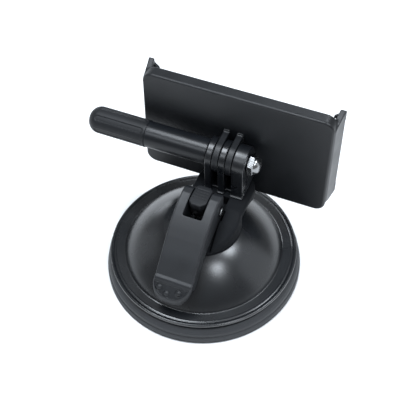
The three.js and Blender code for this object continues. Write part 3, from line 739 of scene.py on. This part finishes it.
moulded("acorn_nut_plated", nut_field, (14.5, 13.6, 50.3), (20.1, 23.4, 60.1), 0.14,
        STEEL, "base", "acorn_nut")

# ------------------------------------------------------------------ cradle
MIDDLE, CRADLE_HALF = 4.36, 43.25
CRADLE_FRONT, EAR_FRONT, WALL = 32.8, 38.4, 2.2
CRADLE_BOT, CRADLE_TOP = 27.0, 83.0
FLARE = 0.14                    # how far the ears lean out, per millimetre of depth
EAR_THICK, HOOK_DEPTH = 2.6, 1.5
LEAN, MID_Z = 0.03, 60          # the left end leans a little about this height; upper hooks lie above it
HOOKS = ((76.8, 81.6), (31.2, 36.0))    # from and to which height they go
HOOK_SLANT = 0.85               # the upper hooks' tops fall this steeply inwards
ear_side = soften([(28.2, 33.0, 2), (28.2, 78.4, 1.5), (29.6, 79.4, 2), (37.8, 82.2, .6), (38.4, 81.2, .5),
                   (38.4, 31.2, .5), (37.2, 30.4, .6), (31, 31.0, 3)], .5, 6)


def shell_field(X, Y, Z):
    left, right = MIDDLE - CRADLE_HALF, MIDDLE + CRADLE_HALF
    X = X + np.clip((MIDDLE - X) / CRADLE_HALF, 0, 1) * LEAN * (MID_Z - Z)
    off = np.abs(X - MIDDLE)
    depth = np.abs(Y - (CRADLE_BACK + CRADLE_FRONT) / 2) - (CRADLE_FRONT - CRADLE_BACK) / 2
    outer = rmax(box2(X, Z, left, right, CRADLE_BOT, CRADLE_TOP, 5.0), depth, 1.0)
    x = off - CRADLE_HALF - FLARE * (Y - CRADLE_BACK)
    slab = np.abs(x + EAR_THICK / 2) - EAR_THICK / 2
    ear = rmax(slab / math.sqrt(1 + FLARE * FLARE), poly(Y, Z, ear_side), 0.45)
    hooks = None
    for z0, z1 in HOOKS:
        d = box2(Y, Z, EAR_FRONT - HOOK_DEPTH, EAR_FRONT, z0, z1, 0.3)
        d = rmax(d, np.abs(off - CRADLE_HALF + 1.0) - 2.4, 0.3)
        if z0 > MID_Z:
            d = rmax(d, (Z - z1 + (CRADLE_HALF + 1.2 - off) * HOOK_SLANT) * 0.76, 0.3)
        hooks = d if hooks is None else np.minimum(hooks, d)
    out = rmin(outer, ear, 0.8)
    out = rmin(out, np.maximum(hooks, off - CRADLE_HALF - FLARE * (EAR_FRONT - CRADLE_BACK) - 0.1), 0.5)
    opening = box2(X, Z, left + WALL + 0.4, right - WALL - 0.4, CRADLE_BOT + WALL, CRADLE_TOP - WALL, 3.0)
    inner = rmax(opening, CRADLE_BACK + WALL - Y, 0.3)
    inner = np.maximum(inner, Y - CRADLE_FRONT - 0.3)
    return rmax(out, -inner, 0.35)


moulded("cradle_tray", shell_field, (-41.8, 26.8, 26.9), (49.6, 38.6, 83.1), 0.42,
        CRADLE, "cradle", "cradle_shell")

PAD_HALF = 36                   # half length of the ribbed rubber pads
for name, z0, z1 in (("pad_lower", 32.5, 40.5), ("pad_upper", 69.6, 77.6)):
    def pad_field(X, Y, Z, z0=z0, z1=z1):
        pad = box3(X, Y, Z, MIDDLE - PAD_HALF, MIDDLE + PAD_HALF,
                   CRADLE_BACK + WALL + 0.3, CRADLE_FRONT + 0.4, z0, z1, 1.0)
        rib = np.abs(np.mod(Z - z0 - 1.0, 2.0) - 1.0) - 0.3
        ends = np.abs(X - MIDDLE) - PAD_HALF + 2
        return rmax(pad, -np.maximum(np.maximum(rib, CRADLE_FRONT - Y), ends), 0.15)

    obj = moulded(name + "_rubber", pad_field, (MIDDLE - 36.1, 29.3, z0 - .1),
                  (MIDDLE + 36.1, 33.3, z1 + .1), 0.32, SOFT, "cradle", name)

HEAD_Y, HEAD_R, SHANK_R = 31.5, 2.2, 1.0
for i in range(4):
    name = f"bracket_screw_{i + 1}"
    lo, hi = corner(name), corner(name, False)
    sx, sz = (lo[0] + hi[0]) / 2, (lo[2] + hi[2]) / 2

    def screw_field(X, Y, Z, sx=sx, sz=sz):
        r = np.hypot(X - sx, Z - sz)
        head = rmax(np.sqrt(r * r + (np.maximum(Y - HEAD_Y, 0) * 1.6) ** 2) - HEAD_R, HEAD_Y - Y, 0.15)
        shank = np.maximum(r - SHANK_R, np.abs(Y - 30) - 2.1)
        a, b = np.abs(X - sx), np.abs(Z - sz)
        arms = np.minimum(np.maximum(a - 0.28, b - 1.15), np.maximum(b - 0.28, a - 1.15))
        return rmax(np.minimum(head, shank), -np.maximum(arms, 32.0 - Y), 0.08)

    moulded(name + "_pan", screw_field, (sx - 2.3, 27.8, sz - 2.3), (sx + 2.3, 32.9, sz + 2.3), 0.13,
            ZINC, "cradle", name)

# ------------------------------------------------------------------ springs
spring = coil("return_spring_wire", (0, 0, 9.8), (0, 0, 31.1), 7.6, 0.6, 5, ZINC)
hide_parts("return_spring")
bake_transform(spring)
# the button spring wears the painted pit shade: its near-black colour stands for the shade in the window's
# pit
small = coil("button_spring_wire", (0, -10.4, 44.5), (0, -6.5, 44.5), 0.8, 0.22, 3, PIT_SHADE_BLACK,
             per_turn=24, around=8)
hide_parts("button_spring")
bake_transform(small)

# ------------------------------------------------------------------ CAD nodes that stay
cad_looks = {"clamp_ring": SATIN}
cad_looks.update({f"cover_screw_{i}": ZINC for i in (1, 2, 3, 4)})
cad_looks.update({f"block_screw_{i}": ZINC for i in (1, 2)})
for name, look in cad_looks.items():
    for material_slot in nodes[name].material_slots:
        material_slot.material = look

# ------------------------------------------------------------------ floor and light
floor_mesh = bpy.data.meshes.new("floor")
FLOOR = 3.0                     # half side, in metres
floor_mesh.from_pydata([(-FLOOR, -FLOOR, 0), (FLOOR, -FLOOR, 0), (FLOOR, FLOOR, 0), (-FLOOR, FLOOR, 0)], [],
                       [(0, 1, 2, 3)])
floor = bpy.data.objects.new("floor", floor_mesh)
bpy.context.scene.collection.objects.link(floor)
floor_mat = bpy.data.materials.new("floor")
floor_mat.use_nodes = True
floor_shader = floor_mat.node_tree.nodes["Principled BSDF"]
floor_shader.inputs["Base Color"].default_value = (0.9, 0.9, 0.9, 1)
floor_shader.inputs["Roughness"].default_value = 0.9
floor_shader.inputs["Specular IOR Level"].default_value = 0.1
floor_mesh.materials.append(floor_mat)

world = bpy.data.worlds.new("studio")
bpy.context.scene.world = world
world.use_nodes = True
world.node_tree.nodes["Background"].inputs["Color"].default_value = (1, 1, 1, 1)
world.node_tree.nodes["Background"].inputs["Strength"].default_value = 0.25


AIM = Vector((0.0, 0.0, 0.03))  # every panel faces the middle of the object, in metres
COOL = (0.91, 0.975, 1.05)


def softbox(name, place, size, power):
    """A rectangular panel at place, width and height in metres, power in watts."""
    light = bpy.data.lights.new(name, "AREA")
    light.shape, light.size, light.size_y, light.energy = "RECTANGLE", size[0], size[1], power
    light.color = COOL
    obj = bpy.data.objects.new(name, light)
    bpy.context.scene.collection.objects.link(obj)
    obj.location = place
    obj.rotation_mode = "QUATERNION"
    obj.rotation_quaternion = (Vector(place) - AIM).to_track_quat("Z", "Y")


softbox("softbox_overhead", (-0.25, -0.02, 1.15), (0.5, 0.36), 10)
softbox("softbox_front", (-0.33, -0.75, 1.02), (0.6, 0.34), 4)
softbox("softbox_front_right", (0.62, -0.45, 1.12), (0.26, 0.26), 5)
softbox("softbox_right", (0.72, 0.27, 1.32), (0.34, 0.34), 8.5)
softbox("softbox_rear", (-1.2, 1.35, 0.18), (1.1, 0.3), 3.5)
softbox("softbox_low_right", (1.2, 0.35, 0.5), (1.0, 1.0), 3)
softbox("softbox_low_left", (-1.3, -0.1, 0.35), (0.8, 0.9), 1.2)
softbox("softbox_back_high", (0.15, 1.3, 1.1), (0.6, 0.3), 7)

bpy.context.scene.view_settings.view_transform = "Standard"
bpy.context.scene.view_settings.look = "None"
